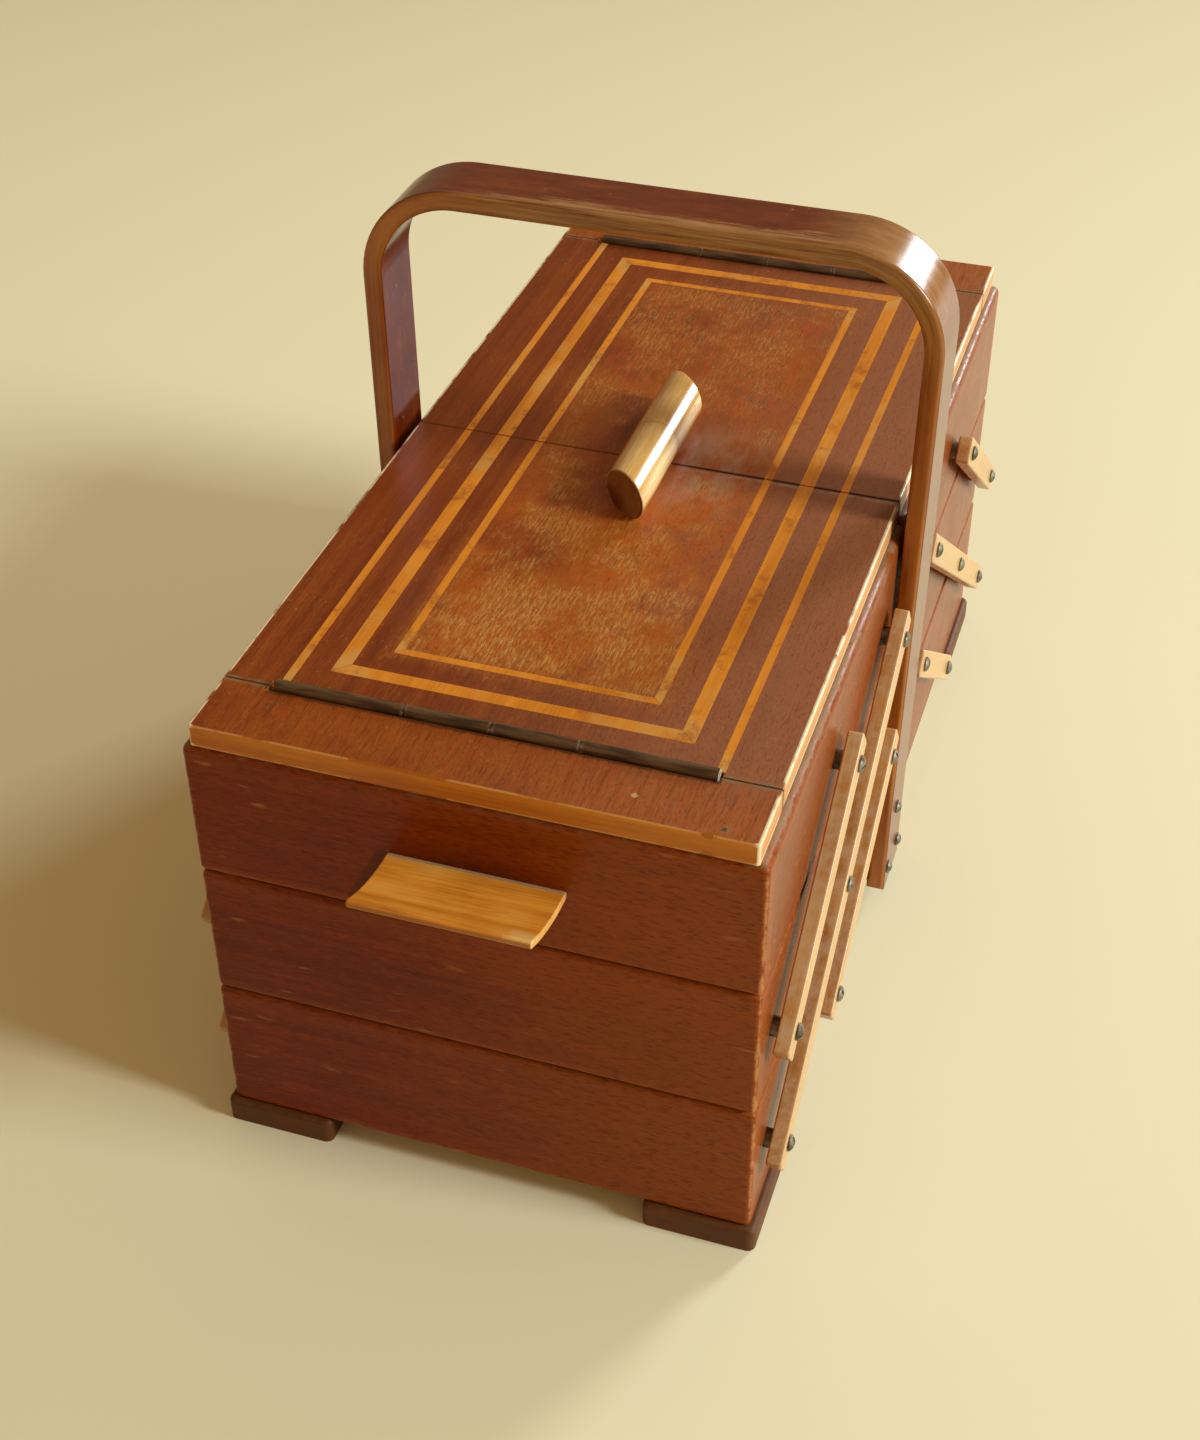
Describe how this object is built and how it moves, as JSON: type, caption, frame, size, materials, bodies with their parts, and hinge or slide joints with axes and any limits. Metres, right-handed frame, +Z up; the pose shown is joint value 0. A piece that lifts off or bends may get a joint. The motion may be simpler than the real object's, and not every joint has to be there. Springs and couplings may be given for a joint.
{
  "type": "cantilever sewing carrier",
  "caption": "Wooden cantilever sewing carrier: stacked trays that swing out on side links, hinged inlaid lids, corner feet and a bentwood carrying handle.",
  "frame": {"origin": "on the ground, under the middle of the closed carrier", "axes": "+X along the box towards its right end, -Y towards its front long side, +Z up"},
  "size_m": [0.4718, 0.2206, 0.295],
  "materials": {
    "stained_wood": "worn satin lacquer",
    "lid_wood": "worn satin lacquer",
    "amber_wood": "satin lacquer",
    "pale_wood": "polished by use",
    "inlay_wood": "satin lacquer",
    "plywood": "matt, bare",
    "screw_steel": "dull",
    "hinge_brass": "dark patina"
  },
  "bodies": {
    "base": {"base_front_wall": "stained_wood", "base_back_wall": "stained_wood", "base_left_wall": "stained_wood", "base_right_wall": "stained_wood", "base_bottom": "plywood", "corner_feet": "stained_wood", "handle": "stained_wood", "handle_screws": "screw_steel", "base_pivot_screws": "screw_steel"},
    "left_long_links": {"left_long_links": "amber_wood"},
    "left_lower_links": {"left_lower_links": "amber_wood"},
    "left_upper_links": {"left_upper_links": "amber_wood"},
    "left_mid_tray": {"left_mid_front_wall": "stained_wood", "left_mid_back_wall": "stained_wood", "left_mid_outer_wall": "stained_wood", "left_mid_inner_wall": "stained_wood", "left_mid_bottom": "plywood", "left_mid_divider": "plywood", "left_mid_pivot_screws": "screw_steel"},
    "left_top_tray": {"left_top_front_wall": "stained_wood", "left_top_back_wall": "stained_wood", "left_top_outer_wall": "stained_wood", "left_top_inner_wall": "stained_wood", "left_top_bottom": "plywood", "left_top_divider": "plywood", "left_top_pivot_screws": "screw_steel", "left_top_fixed_strip": "lid_wood", "left_top_end_pull": "amber_wood", "left_top_hinge_leaf": "hinge_brass", "left_top_hinge_pin": "hinge_brass"},
    "left_lid": {"left_lid_panel": "lid_wood", "left_lid_inlay": "inlay_wood", "left_lid_hinge_leaf": "hinge_brass", "left_lid_pull_bar": "pale_wood"},
    "right_long_links": {"right_long_links": "amber_wood"},
    "right_lower_links": {"right_lower_links": "amber_wood"},
    "right_upper_links": {"right_upper_links": "amber_wood"},
    "right_mid_tray": {"right_mid_front_wall": "stained_wood", "right_mid_back_wall": "stained_wood", "right_mid_outer_wall": "stained_wood", "right_mid_inner_wall": "stained_wood", "right_mid_bottom": "plywood", "right_mid_divider": "plywood", "right_mid_pivot_screws": "screw_steel"},
    "right_top_tray": {"right_top_front_wall": "stained_wood", "right_top_back_wall": "stained_wood", "right_top_outer_wall": "stained_wood", "right_top_inner_wall": "stained_wood", "right_top_bottom": "plywood", "right_top_divider": "plywood", "right_top_pivot_screws": "screw_steel", "right_top_fixed_strip": "lid_wood", "right_top_end_pull": "amber_wood", "right_top_hinge_leaf": "hinge_brass", "right_top_hinge_pin": "hinge_brass"},
    "right_lid": {"right_lid_panel": "lid_wood", "right_lid_inlay": "inlay_wood", "right_lid_hinge_leaf": "hinge_brass", "right_lid_pull_bar": "pale_wood"}
  },
  "joints": [
    {"name": "left_trays_swing", "type": "hinge", "parent": "base", "child": "left_long_links", "pos_m": [-0.184, 0, 0.0376], "axis": [0, -1, 0], "range_deg": [0, 107.1]},
    {"name": "left_mid_tray_pivot", "type": "hinge", "parent": "left_long_links", "child": "left_mid_tray", "pos_m": [-0.1077, 0, 0.0939], "axis": [0, -1, 0], "range_deg": [-107.1, 0]},
    {"name": "left_top_tray_pivot", "type": "hinge", "parent": "left_long_links", "child": "left_top_tray", "pos_m": [-0.0314, 0, 0.1502], "axis": [0, -1, 0], "range_deg": [-107.1, 0]},
    {"name": "left_lower_links_pivot", "type": "hinge", "parent": "base", "child": "left_lower_links", "pos_m": [-0.1077, 0, 0.0376], "axis": [0, -1, 0], "range_deg": [0, 107.1]},
    {"name": "left_upper_links_pivot", "type": "hinge", "parent": "left_mid_tray", "child": "left_upper_links", "pos_m": [-0.184, 0, 0.0939], "axis": [0, -1, 0], "range_deg": [0, 107.1]},
    {"name": "left_lid_hinge", "type": "hinge", "parent": "left_top_tray", "child": "left_lid", "pos_m": [-0.1747, 0, 0.1898], "axis": [0, -1, 0], "range_deg": [0, 175]},
    {"name": "right_trays_swing", "type": "hinge", "parent": "base", "child": "right_long_links", "pos_m": [0.184, 0, 0.0376], "axis": [0, 1, 0], "range_deg": [0, 107.1]},
    {"name": "right_mid_tray_pivot", "type": "hinge", "parent": "right_long_links", "child": "right_mid_tray", "pos_m": [0.1077, 0, 0.0939], "axis": [0, 1, 0], "range_deg": [-107.1, 0]},
    {"name": "right_top_tray_pivot", "type": "hinge", "parent": "right_long_links", "child": "right_top_tray", "pos_m": [0.0314, 0, 0.1502], "axis": [0, 1, 0], "range_deg": [-107.1, 0]},
    {"name": "right_lower_links_pivot", "type": "hinge", "parent": "base", "child": "right_lower_links", "pos_m": [0.1077, 0, 0.0376], "axis": [0, 1, 0], "range_deg": [0, 107.1]},
    {"name": "right_upper_links_pivot", "type": "hinge", "parent": "right_mid_tray", "child": "right_upper_links", "pos_m": [0.184, 0, 0.0939], "axis": [0, 1, 0], "range_deg": [0, 107.1]},
    {"name": "right_lid_hinge", "type": "hinge", "parent": "right_top_tray", "child": "right_lid", "pos_m": [0.1747, 0, 0.1898], "axis": [0, 1, 0], "range_deg": [0, 175]}
  ],
  "couplings": [
    {"joint": "left_mid_tray_pivot", "follows": "left_trays_swing", "ratio": -1},
    {"joint": "left_top_tray_pivot", "follows": "left_trays_swing", "ratio": -1},
    {"joint": "left_lower_links_pivot", "follows": "left_trays_swing", "ratio": 1},
    {"joint": "left_upper_links_pivot", "follows": "left_trays_swing", "ratio": 1},
    {"joint": "right_mid_tray_pivot", "follows": "right_trays_swing", "ratio": -1},
    {"joint": "right_top_tray_pivot", "follows": "right_trays_swing", "ratio": -1},
    {"joint": "right_lower_links_pivot", "follows": "right_trays_swing", "ratio": 1},
    {"joint": "right_upper_links_pivot", "follows": "right_trays_swing", "ratio": 1}
  ]
}
